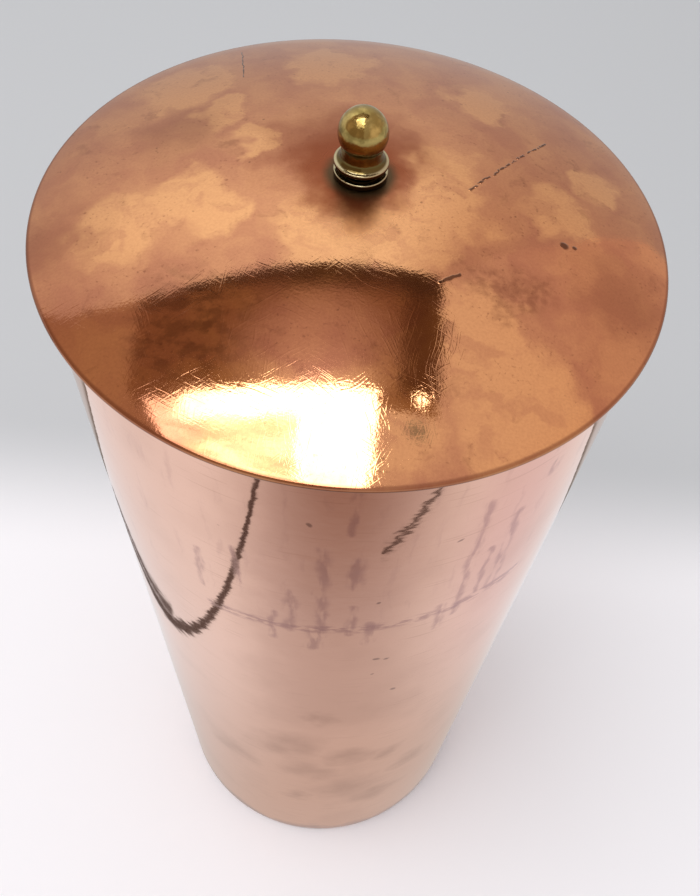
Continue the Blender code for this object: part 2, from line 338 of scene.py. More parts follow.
low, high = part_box("base_solder_ring")
foot_fillet = turned("foot_solder", [
    (high.x, high.z),
    (high.x - taper * SOLDER_LEG, low.z),
    (high.x - taper * SOLDER_LEG - SOLDER_LEG, low.z),
    *hollow_fillet((high.x - taper * SOLDER_LEG - SOLDER_LEG, low.z), (high.x, high.z)),
], LARGE_STEPS, "vessel", "base_solder_ring")
low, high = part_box("collar_solder_ring")
collar_fillet = turned("collar_solder", [
    (high.x - SOLDER_LEG, high.z),
    (high.x, low.z + SOLDER_LEG),
    (high.x, low.z),
    *hollow_fillet((high.x - SOLDER_LEG, high.z), (high.x, low.z))[::-1],
], LARGE_STEPS, "lid", "collar_solder_ring")

low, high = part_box("inner_washer")
inner_washer = turned("steel_washer", bent([
    (FASTENER_HOLE, high.z, 0),
    (high.x, high.z, BROKEN_CORNER),
    (high.x, low.z, BROKEN_CORNER),
    (FASTENER_HOLE, low.z, 0),
]), SMALL_STEPS, "lid", "inner_washer")

# %% [markdown]
# ## Building materials
#
# A material here is a small tree of nodes, and one function adds a node with its settings
# and its links. Colours are written as the hex values that a colour picker shows, and one
# function turns them into the linear light that the renderer works in.

# %% Material helpers


def linear(hex_colour):
    """An sRGB hex colour as linear red, green, blue and alpha."""
    channels = [int(hex_colour[i:i + 2], 16) / 255 for i in (1, 3, 5)]
    return (*[c / 12.92 if c <= 0.04045 else ((c + 0.055) / 1.055) ** 2.4 for c in channels], 1.0)


def add(tree, kind, sockets=None, out=0, **settings):
    """Adds a node, sets it up, fills or links its inputs, and gives back one output."""
    made = tree.nodes.new(kind)
    for name, value in settings.items():
        setattr(made, name, value)
    for name, value in (sockets or {}).items():
        if isinstance(value, bpy.types.NodeSocket):
            tree.links.new(value, made.inputs[name])
        else:
            made.inputs[name].default_value = value
    return made.outputs[out]


def metal(name):
    """A new metallic material: its tree and its shader."""
    made = bpy.data.materials.new(name)
    made.use_nodes = True
    tree = made.node_tree
    shader = tree.nodes["Principled BSDF"]
    shader.inputs["Metallic"].default_value = 1.0
    return made, tree, shader


def in_millimetres(tree):
    """The piece's own coordinates, so that marks stay put when it moves, in millimetres."""
    place = add(tree, "ShaderNodeTexCoord", out="Object")
    return add(tree, "ShaderNodeVectorMath", {0: place, "Scale": 1 / MM}, operation="SCALE")


# %% [markdown]
# ## Marks
#
# Scratches, pits and stains are masks: 1 on the mark, 0 off it. A stroke is the distance to
# a line between two points, and a spot the distance to one. Both are measured on coordinates
# that soft noise has pushed about, which is what makes a ruled line look like a scratch.

# %% Masks


def ragged(tree, place, size, amount, detail=3.0):
    """The coordinates pushed about by noise of a given grain, up to a given distance."""
    cloud = add(tree, "ShaderNodeTexNoise", {"Vector": place, "Scale": 1 / size, "Detail": detail},
                out="Color")
    centred = add(tree, "ShaderNodeVectorMath", {0: cloud, 1: (0.5, 0.5, 0.5)}, operation="SUBTRACT")
    return add(tree, "ShaderNodeVectorMath", {0: centred, 1: (2 * amount,) * 3, 2: place},
               operation="MULTIPLY_ADD")


def spot(tree, place, centre, radius, softness):
    """A round mark. Softness is the share of the radius over which it fades."""
    away = add(tree, "ShaderNodeVectorMath", {0: place, 1: centre}, out="Value", operation="DISTANCE")
    return add(tree, "ShaderNodeMapRange", {0: away, 1: radius * (1 - softness), 2: radius, 3: 1.0, 4: 0.0},
               interpolation_type="SMOOTHSTEP")


def stroke(tree, place, start, end, width, softness=0.5):
    """A straight mark from one point to another. Softness is the share of the width that fades."""
    start, end = Vector(start), Vector(end)
    run = end - start
    from_start = add(tree, "ShaderNodeVectorMath", {0: place, 1: start}, operation="SUBTRACT")
    share = add(tree, "ShaderNodeVectorMath", {0: from_start, 1: run / run.length_squared}, out="Value",
                operation="DOT_PRODUCT")
    share = add(tree, "ShaderNodeClamp", {0: share})
    nearest = add(tree, "ShaderNodeVectorMath", {0: run, "Scale": share}, operation="SCALE")
    away = add(tree, "ShaderNodeVectorMath", {0: from_start, 1: nearest}, out="Value", operation="DISTANCE")
    core = width * (1 - softness) / 2
    return add(tree, "ShaderNodeMapRange", {0: away, 1: core, 2: width / 2, 3: 1.0, 4: 0.0},
               interpolation_type="SMOOTHSTEP")


def block(tree, place, low, high, soft):
    """1 inside a box between two corners, fading outside over a short distance."""
    low, high = Vector(low), Vector(high)
    off = add(tree, "ShaderNodeVectorMath", {0: place, 1: (low + high) / 2}, operation="SUBTRACT")
    off = add(tree, "ShaderNodeVectorMath", {0: off}, operation="ABSOLUTE")
    off = add(tree, "ShaderNodeVectorMath", {0: off, 1: (high - low) / 2}, operation="SUBTRACT")
    parts = add(tree, "ShaderNodeSeparateXYZ", {0: off})
    worst = add(tree, "ShaderNodeMath", {0: parts, 1: parts.node.outputs["Y"]}, operation="MAXIMUM")
    worst = add(tree, "ShaderNodeMath", {0: worst, 1: parts.node.outputs["Z"]}, operation="MAXIMUM")
    return add(tree, "ShaderNodeMapRange", {0: worst, 1: soft, 2: 0.0}, interpolation_type="SMOOTHSTEP")


def strongest(tree, masks):
    """Where any of several masks is set."""
    total = masks[0]
    for mask in masks[1:]:
        total = add(tree, "ShaderNodeMath", {0: total, 1: mask}, operation="MAXIMUM")
    return total


def noise_mask(tree, place, grain, low, high, detail=2.0):
    """Soft noise cut to a mask: clear below low, set above high. Grain is a size for each axis."""
    squeezed = add(tree, "ShaderNodeVectorMath", {0: place, 1: tuple(1 / g for g in grain)},
                   operation="MULTIPLY")
    cloud = add(tree, "ShaderNodeTexNoise", {"Vector": squeezed, "Scale": 1.0, "Detail": detail})
    return add(tree, "ShaderNodeMapRange", {0: cloud, 1: low, 2: high}, interpolation_type="SMOOTHSTEP")


def rubbed(tree, place, angle, long, fine):
    """Straight hair lines in one direction, in patches, as a cloth and grit leave them."""
    bowed = ragged(tree, place, 30.0, 5.0)
    aslant = add(tree, "ShaderNodeMapping", {"Vector": bowed, "Rotation": (0, 0, math.radians(angle))})
    lines = noise_mask(tree, aslant, (long, fine, 1000.0), 0.50, 0.85, 1.0)
    patches = noise_mask(tree, aslant, (12.0, 8.0, 1000.0), 0.42, 0.60)
    return add(tree, "ShaderNodeMath", {0: lines, 1: patches}, operation="MULTIPLY")


def tinted(tree, under, over, mask, amount=1.0):
    """One colour laid over another where a mask is set."""
    share = add(tree, "ShaderNodeMath", {0: mask, 1: amount}, operation="MULTIPLY")
    return add(tree, "ShaderNodeMix", {0: share, 6: under, 7: over}, out=2, data_type="RGBA")


def relief(tree, shader, layers):
    """Bump laid over bump: each layer is a mask and its depth in millimetres."""
    bump = None
    for mask, depth in layers:
        sockets = {"Height": mask, "Distance": depth * MM, "Strength": 1.0}
        if bump is not None:
            sockets["Normal"] = bump
        bump = add(tree, "ShaderNodeBump", sockets, out="Normal")
    tree.links.new(bump, shader.inputs["Normal"])


# %% [markdown]
# ## Polished copper sheet
#
# The wall is bare copper buffed to a mirror: pale pink where it is clean, because copper
# returns nearly all of the red and about half of the green and blue. It was buffed on a
# lathe, so its finest scratches run round it. Water has dried on it in upright mauve streaks
# that end in a line about 60 mm under the mouth, and hands have left brown smudges near the
# foot. The colour is copper's own, and the roughness is 0.05, for a mirror, and 0.13 where
# it is tarnished. Every mark is placed on the unrolled wall: along the girth and up.

# %% Wall copper
CLEAN_COPPER = "#FACBB4"
MAUVE_TARNISH = "#A87A77"
BROWN_TARNISH_AND_REFLECTION = "#BC8F78"
BLUE_TARNISH = "#9C8A92"
DEEP_TARNISH = "#5B3A32"

wall_copper, tree, shader = metal("polished_copper_sheet")
place = in_millimetres(tree)
split = add(tree, "ShaderNodeSeparateXYZ", {0: place})
x_mm, y_mm, z_mm = split.node.outputs
away_mm = add(tree, "ShaderNodeMath", {0: y_mm, 1: -1.0}, operation="MULTIPLY")
turn = add(tree, "ShaderNodeMath", {0: x_mm, 1: away_mm}, operation="ARCTAN2")
girth = add(tree, "ShaderNodeMath", {0: turn, 1: mouth_radius / MM}, operation="MULTIPLY")
flat = add(tree, "ShaderNodeCombineXYZ", {"X": girth, "Z": z_mm})
loose = ragged(tree, flat, 6.0, 1.8, 5.0)
soft = ragged(tree, flat, 11.0, 9.0)

# %% [markdown]
# The marks on the wall come next: the drips and fainter streaks between them, the line where
# the water stopped, the smudges, a damp stain at the foot, a few dark dots and hair scratches.

# %% Marks on the wall
TIDE_LINE = 201.0  # height of the dried water's edge, in millimetres
SCRATCH_PITCH = 0.55  # finer in truth, drawn as coarse as it needs to show
# Each dried drip: where along the girth, its low and high end, and its width, in millimetres.
DRIPS = [(-12, 193, 206, 3), (-8, 199, 217, 4), (-1.5, 198, 236, 4), (4.5, 222, 233, 5),
         (5, 199, 213, 3), (9, 194, 204, 4), (-3, 191, 201, 6), (25, 195, 206, 4),
         (28.5, 199, 246, 3.5), (33, 206, 226, 2.5), (37, 205, 237, 4), (42, 246, 258, 5),
         (3, 243, 258, 2.5), (-19, 215, 230, 2.5), (-28, 206, 222, 3)]
# Each smudge, and each dark dot: along the girth, height and radius, in millimetres.
SMUDGES = [(-3, 88, 15), (9, 104, 12), (22, 100, 9), (11, 64, 20), (-9, 115, 15), (-31, 85, 14),
           (21, 50, 15), (-7, 54, 8), (0, 140, 7), (-14, 108, 10), (34, 78, 11)]
DOTS = [(12.2, 183.6, 1.0), (14.2, 182.8, 1.0), (11.6, 174.5, 0.9), (18.4, 160.0, 1.2),
        (-4.6, 245.0, 0.8), (24.0, 235.0, 0.7), (-22.0, 236.0, 0.7), (9.5, 214.0, 0.8)]

drips = strongest(tree, [
    stroke(tree, loose, (side, 0, low), (side, 0, high), width, 0.85)
    for side, low, high, width in DRIPS
])
patchy = noise_mask(tree, flat, (2.0, 2.0, 8.0), 0.36, 0.58)
drips = add(tree, "ShaderNodeMath", {0: drips, 1: patchy}, operation="MULTIPLY")
faint_drips = noise_mask(tree, loose, (2.6, 9.0, 16.0), 0.56, 0.74, 3.0)
above_tide = add(tree, "ShaderNodeMapRange", {0: z_mm, 1: TIDE_LINE - 5, 2: TIDE_LINE + 5},
                 interpolation_type="SMOOTHSTEP")
faint_drips = add(tree, "ShaderNodeMath", {0: faint_drips, 1: above_tide}, operation="MULTIPLY")
tide = stroke(tree, loose, (-26, 0, TIDE_LINE - 2), (46, 0, TIDE_LINE + 4), 5.0, 0.8)
broken = noise_mask(tree, flat, (4.0, 4.0, 1.6), 0.40, 0.56)
tide = add(tree, "ShaderNodeMath", {0: tide, 1: broken}, operation="MULTIPLY")
veil = block(tree, soft, (-9, -9, TIDE_LINE + 6), (8, 9, 280), 12.0)
# Painted reflection: a broad brown band up the front of the wall, from well under the tide line to the
# mouth, standing for the shaded table in front that the wall mirrors.
painted_front_reflection = block(tree, soft, (-4, -9, TIDE_LINE - 55), (14, 9, 280), 24.0)
smudges = strongest(tree, [
    spot(tree, soft, (side, 0, height), radius, 1.0) for side, height, radius in SMUDGES
])
wiped = noise_mask(tree, place, (19.0, 19.0, 26.0), 0.46, 0.72, 3.0)
ground = add(tree, "ShaderNodeSeparateXYZ", {0: ragged(tree, place, 9.0, 6.0)}, out="Z")
foot_stain = add(tree, "ShaderNodeMapRange", {0: ground, 1: 10.0, 2: 1.0},
                 interpolation_type="SMOOTHSTEP")
dots = strongest(tree, [
    spot(tree, loose, (side, 0, height), radius, 0.6) for side, height, radius in DOTS
])
hair_marks = noise_mask(tree, place, (14.0, 14.0, SCRATCH_PITCH), 0.63, 0.80, 1.0)

# %% [markdown]
# The marks are laid over the clean copper one after the other, palest first. Tarnish also
# dulls the mirror a little.

# %% Colour and shine of the wall
colour = tinted(tree, linear(CLEAN_COPPER), linear(BROWN_TARNISH_AND_REFLECTION), wiped, 0.16)
colour = tinted(tree, colour, linear(BROWN_TARNISH_AND_REFLECTION), smudges, 0.5)
# Painted reflection of the shaded table in front, laid on in brown.
colour = tinted(tree, colour, linear(BROWN_TARNISH_AND_REFLECTION), painted_front_reflection, 0.32)
colour = tinted(tree, colour, linear(MAUVE_TARNISH), veil, 0.12)
colour = tinted(tree, colour, linear(MAUVE_TARNISH), faint_drips, 0.18)
colour = tinted(tree, colour, linear(MAUVE_TARNISH), drips, 0.52)
colour = tinted(tree, colour, linear(MAUVE_TARNISH), tide, 0.6)
colour = tinted(tree, colour, linear(BLUE_TARNISH), foot_stain, 0.75)
colour = tinted(tree, colour, linear(BROWN_TARNISH_AND_REFLECTION), hair_marks, 0.32)
colour = tinted(tree, colour, linear(DEEP_TARNISH), dots, 0.6)
marks = strongest(tree, [drips, tide, smudges, foot_stain])
rough = add(tree, "ShaderNodeMapRange", {0: marks, 3: 0.05, 4: 0.13})

# %% [markdown]
# The inside is never buffed. It keeps the dull skin of the rolled sheet, and water has
# browned it, so it mirrors much less. Oxide is not a metal, so Metallic goes down there. The
# same material serves both sides: what lies nearer the axis than the middle of the sheet is
# the inside, apart from the top of the hem, which stays bright.

# %% Inside of the wall
DULL_SKIN = "#D39C82"
BROWN_SKIN = "#9C6650"

from_axis = add(tree, "ShaderNodeCombineXYZ", {"X": x_mm, "Y": y_mm})
from_axis = add(tree, "ShaderNodeVectorMath", {0: from_axis}, out="Value", operation="LENGTH")
outer = add(tree, "ShaderNodeMath", {0: z_mm, 1: taper, 2: (FOOT_RADIUS - 0.4 * SHEET) / MM},
            operation="MULTIPLY_ADD")
inside = add(tree, "ShaderNodeMath", {0: from_axis, 1: outer}, operation="LESS_THAN")
below_hem = add(tree, "ShaderNodeMath", {0: z_mm, 1: (rim_height - SHEET) / MM},
                operation="LESS_THAN")
inside = add(tree, "ShaderNodeMath", {0: inside, 1: below_hem}, operation="MULTIPLY")
water_marks = noise_mask(tree, place, (16.0, 16.0, 7.0), 0.38, 0.66, 4.0)
skin = tinted(tree, linear(DULL_SKIN), linear(BROWN_SKIN), water_marks, 0.7)
tree.links.new(tinted(tree, colour, skin, inside), shader.inputs["Base Color"])
rough = add(tree, "ShaderNodeMapRange", {0: inside, 3: rough, 4: 0.48})
tree.links.new(rough, shader.inputs["Roughness"])
tree.links.new(add(tree, "ShaderNodeMapRange", {0: inside, 3: 1.0, 4: 0.45}), shader.inputs["Metallic"])

# %% [markdown]
# Two kinds of unevenness are too fine to model, so they are bump: rolling marks a few
# millimetres long, which make a mirrored edge jagged, and the buffing lines.

# %% Unevenness of the wall
rolling = noise_mask(tree, place, (5.0, 5.0, 4.2), 0.0, 1.0, 2.0)
buffing = noise_mask(tree, place, (16.0, 16.0, SCRATCH_PITCH), 0.0, 1.0, 2.0)
relief(tree, shader, [(rolling, 0.019), (buffing, 0.0010)])
print("wall copper has", len(tree.nodes), "nodes")

# %% [markdown]
# ## Hand-buffed copper, going brown
#
# The lid is handled more than the wall. Its copper is warmer and oranger, clouded by soft
# patches where a thin brown oxide has grown back over the polish, darker round the knob
# where no cloth reaches, and dotted with pits. Everything is laid out on the plan of the
# lid, in millimetres from the knob, because the dome is almost flat.

# %% Lid copper
WARM_COPPER = "#F7B67F"
PINK_OXIDE = "#CE8B69"
DARK_OXIDE = "#87503B"
RED_OXIDE = "#924C2D"
GREEN_CRUST = "#4F4730"
PIT_AND_SHADE_BROWN = "#4A2A1E"

lid_copper, tree, shader = metal("hand_buffed_copper")
place = in_millimetres(tree)
split = add(tree, "ShaderNodeSeparateXYZ", {0: place})
x_mm, y_mm, z_mm = split.node.outputs
plan = add(tree, "ShaderNodeCombineXYZ", {"X": x_mm, "Y": y_mm})
from_axis = add(tree, "ShaderNodeVectorMath", {0: plan}, out="Value", operation="LENGTH")
cloudy = ragged(tree, plan, 8.0, 8.0, 8.0)
nervous = ragged(tree, plan, 2.2, 0.5)

# %% [markdown]
# First the oxide: bright spots where the polish has lasted, thinned by cloudy noise, and the
# pink oxide that covers the rest unevenly, browner near the rim.

# %% Oxide on the lid
# Where the polish has lasted: across, away and radius, in millimetres from the knob.
KEPT_BRIGHT = [(-6, -14, 12), (8, -14, 13), (17, -5, 10), (15, 6, 8), (-42, -12, 11), (-31, -5, 8),
               (-24, -10, 7), (38, -1, 9), (-19, 9, 5), (23, 31, 9), (-36, 30, 11), (-8, 40, 11),
               (22, -33, 14), (30, -46, 15), (-27, 19, 6), (6, -50, 14), (-14, -52, 14), (45, 12, 7)]

polish = strongest(tree, [
    spot(tree, cloudy, (across, away, 0), radius, 0.45) for across, away, radius in KEPT_BRIGHT
])
thinning = noise_mask(tree, cloudy, (7.0, 4.5, 7.0), 0.36, 0.52, 5.0)
thinning = add(tree, "ShaderNodeMapRange", {0: thinning, 3: 0.55, 4: 1.0})
polish = add(tree, "ShaderNodeMath", {0: polish, 1: thinning}, operation="MULTIPLY")
mottle = noise_mask(tree, cloudy, (12.0, 12.0, 12.0), 0.30, 0.68, 4.0)
mottle = add(tree, "ShaderNodeMapRange", {0: mottle, 3: 0.55, 4: 1.0})
oxide = add(tree, "ShaderNodeMath", {0: 1.0, 1: polish}, operation="SUBTRACT")
oxide = add(tree, "ShaderNodeMath", {0: oxide, 1: mottle}, operation="MULTIPLY")
halo = spot(tree, cloudy, (-2, 6, 0), 21.0, 0.8)
near_knob = spot(tree, cloudy, (-1, 1, 0), 14.0, 0.6)
unrubbed = spot(tree, cloudy, (0, -4, 0), 19.0, 0.7)
brown = strongest(tree, [
    spot(tree, cloudy, (-54, -14, 0), 16.0, 0.9),
    spot(tree, cloudy, (50, -18, 0), 15.0, 0.9),
    spot(tree, cloudy, (-34, 14, 0), 13.0, 1.0),
    noise_mask(tree, cloudy, (5.0, 5.0, 5.0), 0.58, 0.80, 4.0),
])

# %% [markdown]
# Then the single marks: a speckled blotch on the right, dark stipple on the left, freckles
# and pits in patches, a long broken scratch, two short ones and two dents, a dark crust of
# old polish round the knob's washer, and the bead: oxide and painted shade brown its edge,
# and painted shade darkens its underside.

# %% Marks on the lid
blotch = spot(tree, cloudy, (27, -22, 0), 8.5, 0.5)
speckle = noise_mask(tree, nervous, (1.6, 1.6, 1.6), 0.25, 0.70, 3.0)
blotch = add(tree, "ShaderNodeMath", {0: blotch, 1: speckle}, operation="MULTIPLY")
tarnished_left = spot(tree, cloudy, (-27, -34, 0), 15.0, 0.7)
stipple = noise_mask(tree, nervous, (3.0, 2.2, 3.0), 0.40, 0.62, 4.0)
tarnished_left = add(tree, "ShaderNodeMath", {0: tarnished_left, 1: stipple}, operation="MULTIPLY")
freckles = noise_mask(tree, plan, (0.75, 0.75, 0.75), 0.58, 0.74, 3.0)
freckled = noise_mask(tree, cloudy, (10.0, 10.0, 10.0), 0.42, 0.62)
freckles = add(tree, "ShaderNodeMath", {0: freckles, 1: freckled}, operation="MULTIPLY")
grain = noise_mask(tree, plan, (0.5, 0.5, 0.5), 0.30, 0.75, 2.0)
crust = add(tree, "ShaderNodeVectorMath", {0: nervous}, out="Value", operation="LENGTH")
crust = add(tree, "ShaderNodeMapRange", {0: crust, 1: 7.6, 2: 5.2}, interpolation_type="SMOOTHSTEP")
pits = add(tree, "ShaderNodeTexVoronoi", {"Vector": nervous, "Scale": 1 / 2.6, "Randomness": 1.0})
pits = add(tree, "ShaderNodeMapRange", {0: pits, 1: 0.12, 2: 0.04}, interpolation_type="SMOOTHSTEP")
pitted = noise_mask(tree, plan, (9.0, 9.0, 9.0), 0.50, 0.66)
pits = add(tree, "ShaderNodeMath", {0: pits, 1: pitted}, operation="MULTIPLY")
long_scratch = stroke(tree, nervous, (20, 0, 0), (36, 21, 0), 0.7)
dashes = noise_mask(tree, plan, (0.8, 0.8, 0.8), 0.38, 0.50, 0.0)
long_scratch = add(tree, "ShaderNodeMath", {0: long_scratch, 1: dashes}, operation="MULTIPLY")
scratches = strongest(tree, [
    long_scratch,
    stroke(tree, nervous, (14.6, -22.8, 0), (18.2, -20.6, 0), 0.9),
    stroke(tree, nervous, (-27, 48, 0), (-24.8, 33, 0), 0.35),
    spot(tree, nervous, (37.6, -8.6, 0), 1.0, 0.5),
    spot(tree, nervous, (39.6, -8.4, 0), 0.7, 0.5),
])
bead_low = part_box("lid_dome")[0].z / MM
# The bead's outer edge is browned by oxide and by painted shade, and its underside is darkened further by
# painted shade.
bead_edge_oxide_and_shade = add(tree, "ShaderNodeMapRange", {0: from_axis, 1: 59.1, 2: 59.6},
                interpolation_type="SMOOTHSTEP")
bead_underside_shade = add(tree, "ShaderNodeMapRange", {0: z_mm, 1: bead_low + 0.9, 2: bead_low + 0.4})
bead_underside_shade = add(tree, "ShaderNodeMath", {0: bead_underside_shade, 1: bead_edge_oxide_and_shade}, operation="MULTIPLY")

# %% [markdown]
# The colours go from the palest to the darkest, and the last is the greenish crust. Behind
# the knob the polish has thinned everywhere a little. The lid is a mirror where it is bright,
# slightly duller under oxide, and satin close to the knob.

# %% Colour and shine of the lid
thin = add(tree, "ShaderNodeMapRange", {0: y_mm, 1: 5.0, 2: 30.0, 3: 0.0, 4: 0.28})
oxide = add(tree, "ShaderNodeMath", {0: oxide, 1: thin}, operation="MAXIMUM")
colour = tinted(tree, linear(WARM_COPPER), linear(PINK_OXIDE), oxide)
colour = tinted(tree, colour, linear(DARK_OXIDE), brown, 0.38)
colour = tinted(tree, colour, linear(DARK_OXIDE), grain, 0.12)
colour = tinted(tree, colour, linear(DARK_OXIDE), freckles, 0.5)
colour = tinted(tree, colour, linear(PIT_AND_SHADE_BROWN), tarnished_left, 0.36)
colour = tinted(tree, colour, linear(RED_OXIDE), halo, 0.8)
colour = tinted(tree, colour, linear(RED_OXIDE), near_knob, 0.85)
colour = tinted(tree, colour, linear(DARK_OXIDE), blotch, 0.5)
# Oxide and painted shade on the bead's edge, then painted shade under it.
colour = tinted(tree, colour, linear(DARK_OXIDE), bead_edge_oxide_and_shade, 0.6)
colour = tinted(tree, colour, linear(PIT_AND_SHADE_BROWN), bead_underside_shade, 0.85)
colour = tinted(tree, colour, linear(PIT_AND_SHADE_BROWN), pits, 0.45)
colour = tinted(tree, colour, linear(PIT_AND_SHADE_BROWN), scratches, 0.8)
colour = tinted(tree, colour, linear(GREEN_CRUST), crust, 0.85)
tree.links.new(colour, shader.inputs["Base Color"])

dull = strongest(tree, [oxide, blotch])
rough = add(tree, "ShaderNodeMapRange", {0: dull, 3: 0.035, 4: 0.08})
rough = add(tree, "ShaderNodeMapRange", {0: unrubbed, 3: rough, 4: 0.34})
rough = add(tree, "ShaderNodeMapRange", {0: crust, 3: rough, 4: 0.42})
tree.links.new(rough, shader.inputs["Roughness"])

# %% [markdown]
# The lid was buffed round and round, so its finest lines are rings, and they comb the edge of
# every reflection outwards from the middle. Grit in a cloth has since left straight hair
# lines in four directions, drawn wider than real ones so that they show. Under both lie the
# soft dents of the planishing hammer and the grain of the oxide.

# %% Unevenness of the lid
RING_PITCH = 0.42  # finer in truth, drawn as coarse as it needs to show

outward = add(tree, "ShaderNodeVectorMath", {0: plan}, operation="NORMALIZE")
outward = add(tree, "ShaderNodeVectorMath", {0: outward, "Scale": 9.0}, operation="SCALE")
outward = add(tree, "ShaderNodeSeparateXYZ", {0: outward})
ring = add(tree, "ShaderNodeMath", {0: from_axis, 1: 1 / RING_PITCH}, operation="MULTIPLY")
rings = add(tree, "ShaderNodeCombineXYZ", {"X": ring, "Y": outward, "Z": outward.node.outputs["Y"]})
rings = add(tree, "ShaderNodeTexNoise", {"Vector": rings, "Scale": 1.0, "Detail": 2.0})

rubbing = strongest(tree, [
    rubbed(tree, plan, -35, 9.0, 0.35), rubbed(tree, plan, 28, 11.0, 0.30),
    rubbed(tree, plan, 70, 7.0, 0.35), rubbed(tree, plan, -80, 8.0, 0.32),
])
dents = noise_mask(tree, plan, (4.0, 4.0, 4.0), 0.0, 1.0, 2.0)
relief(tree, shader, [(rings, 0.0030), (rubbing, 0.0045), (dents, 0.007), (grain, 0.0020),
                      (scratches, 0.08)])
print("lid copper has", len(tree.nodes), "nodes")

# %% [markdown]
# ## Turned brass
#
# Free-cutting brass, turned and polished, then left: a straw yellow under a patchy olive
# film that thickens towards the waist, where painted shade darkens it too. Old polish has
# blackened the groove under the flange, and both rims carry a painted highlight. Its tool
# marks are rings at constant height, drawn coarser than the real ones so that they show.

# %% Brass
BRASS = "#E7CB7E"
OLIVE_FILM = "#66511F"
PAINTED_RIM_HIGHLIGHT = "#D9CBA2"
GRIME_AND_SHADE = "#3A2E1B"
TOOL_MARK_PITCH = 0.25

brass, tree, shader = metal("turned_brass")
place = in_millimetres(tree)
z_mm = add(tree, "ShaderNodeSeparateXYZ", {0: place}, out="Z")
ball_mm, flange_mm, washer_mm = ball_centre / MM, flange_low / MM, washer_high.z / MM
film = noise_mask(tree, place, (2.4, 2.4, 2.4), 0.36, 0.62, 4.0)
film = add(tree, "ShaderNodeMapRange", {0: film, 3: 0.3, 4: 1.0})
# Painted shade: low darkens the knob from high on the ball down to the flange, and thickens the olive film
# there, as the shade under the ball would.
low = add(tree, "ShaderNodeMapRange", {0: z_mm, 1: ball_mm + 3.2, 2: ball_mm - 1.4},
          interpolation_type="SMOOTHSTEP")
film = add(tree, "ShaderNodeMath", {0: film, 1: low}, operation="MAXIMUM")
grime = add(tree, "ShaderNodeMapRange", {0: z_mm, 1: flange_mm + 0.68, 2: flange_mm + 0.5},
            interpolation_type="SMOOTHSTEP")
# Painted highlights: pale lines along the washer's top corner and round the flange's rim, where the rims
# catch the light; edges joins the two.
washer_rim_highlight = add(tree, "ShaderNodeMapRange", {0: z_mm, 1: washer_mm - 0.22, 2: washer_mm - 0.12},
                  interpolation_type="SMOOTHSTEP")
above = add(tree, "ShaderNodeMapRange", {0: z_mm, 1: washer_mm + 0.2, 2: washer_mm + 0.05},
            interpolation_type="SMOOTHSTEP")
washer_rim_highlight = add(tree, "ShaderNodeMath", {0: washer_rim_highlight, 1: above}, operation="MULTIPLY")
lip_rim_highlight = add(tree, "ShaderNodeMapRange", {0: z_mm, 1: flange_mm + 0.92, 2: flange_mm + 0.80})
below = add(tree, "ShaderNodeMapRange", {0: z_mm, 1: flange_mm + 0.50, 2: flange_mm + 0.62})
lip_rim_highlight = add(tree, "ShaderNodeMath", {0: lip_rim_highlight, 1: below}, operation="MULTIPLY")
edges = strongest(tree, [washer_rim_highlight, lip_rim_highlight])
colour = tinted(tree, linear(BRASS), linear(OLIVE_FILM), film, 0.7)
# Painted shade over the lower ball, the waist and the flange; the line after it is the old polish in the
# groove.
colour = tinted(tree, colour, linear(GRIME_AND_SHADE), low, 0.66)
colour = tinted(tree, colour, linear(GRIME_AND_SHADE), grime, 0.9)
# Painted highlight: the two rims are laid over in pale brass.
colour = tinted(tree, colour, linear(PAINTED_RIM_HIGHLIGHT), edges, 0.7)
tree.links.new(colour, shader.inputs["Base Color"])
rough = add(tree, "ShaderNodeMapRange", {0: film, 3: 0.07, 4: 0.17})
tree.links.new(rough, shader.inputs["Roughness"])
tool_marks = noise_mask(tree, place, (5.0, 5.0, TOOL_MARK_PITCH), 0.0, 1.0, 1.0)
knocks = noise_mask(tree, place, (1.6, 1.6, 1.6), 0.0, 1.0, 2.0)
relief(tree, shader, [(tool_marks, 0.004), (knocks, 0.07)])
print("brass has", len(tree.nodes), "nodes")

# %% [markdown]
# ## Solder, steel and plain copper
#
# Nobody sees these unless the lid is off: tin solder, wiped smooth and gone grey, the
# zinc-plated screw and washer under the dome, and the collar's copper, which was cleaned
# but never buffed, so it is satin and a little cloudy.

# %% Solder, plated steel and satin copper
TIN = "#C9C6BF"
TIN_DULL = "#9A968D"
ZINC = "#C4C5C3"
ZINC_DULL = "#8E8F8C"
SATIN_COPPER = "#EDAE8C"
SATIN_CLOUD = "#C98A69"


def plain_metal(name, bright, dulled, grain, roughness):
    """A metal with a soft mottle of two colours and a fine unevenness."""
    made, tree, shader = metal(name)
    place = in_millimetres(tree)
    mottle = noise_mask(tree, place, (grain,) * 3, 0.40, 0.65, 3.0)
    colour = tinted(tree, linear(bright), linear(dulled), mottle)
    tree.links.new(colour, shader.inputs["Base Color"])
    rough = add(tree, "ShaderNodeMapRange", {0: mottle, 3: roughness, 4: roughness + 0.15})
    tree.links.new(rough, shader.inputs["Roughness"])
    relief(tree, shader, [(mottle, 0.01)])
    return made


tin_solder = plain_metal("tin_solder", TIN, TIN_DULL, 1.5, 0.35)
zinc_steel = plain_metal("zinc_plated_steel", ZINC, ZINC_DULL, 0.8, 0.28)
satin_copper = plain_metal("satin_copper", SATIN_COPPER, SATIN_CLOUD, 7.0, 0.20)

# %% [markdown]
# ## Dressing the pieces
#
# Each piece gets its material, and the table beside it also lists the slot that the parts
# list gives it. The knob's screw is the plain solid itself: it is small, hidden and already
# the right shape.

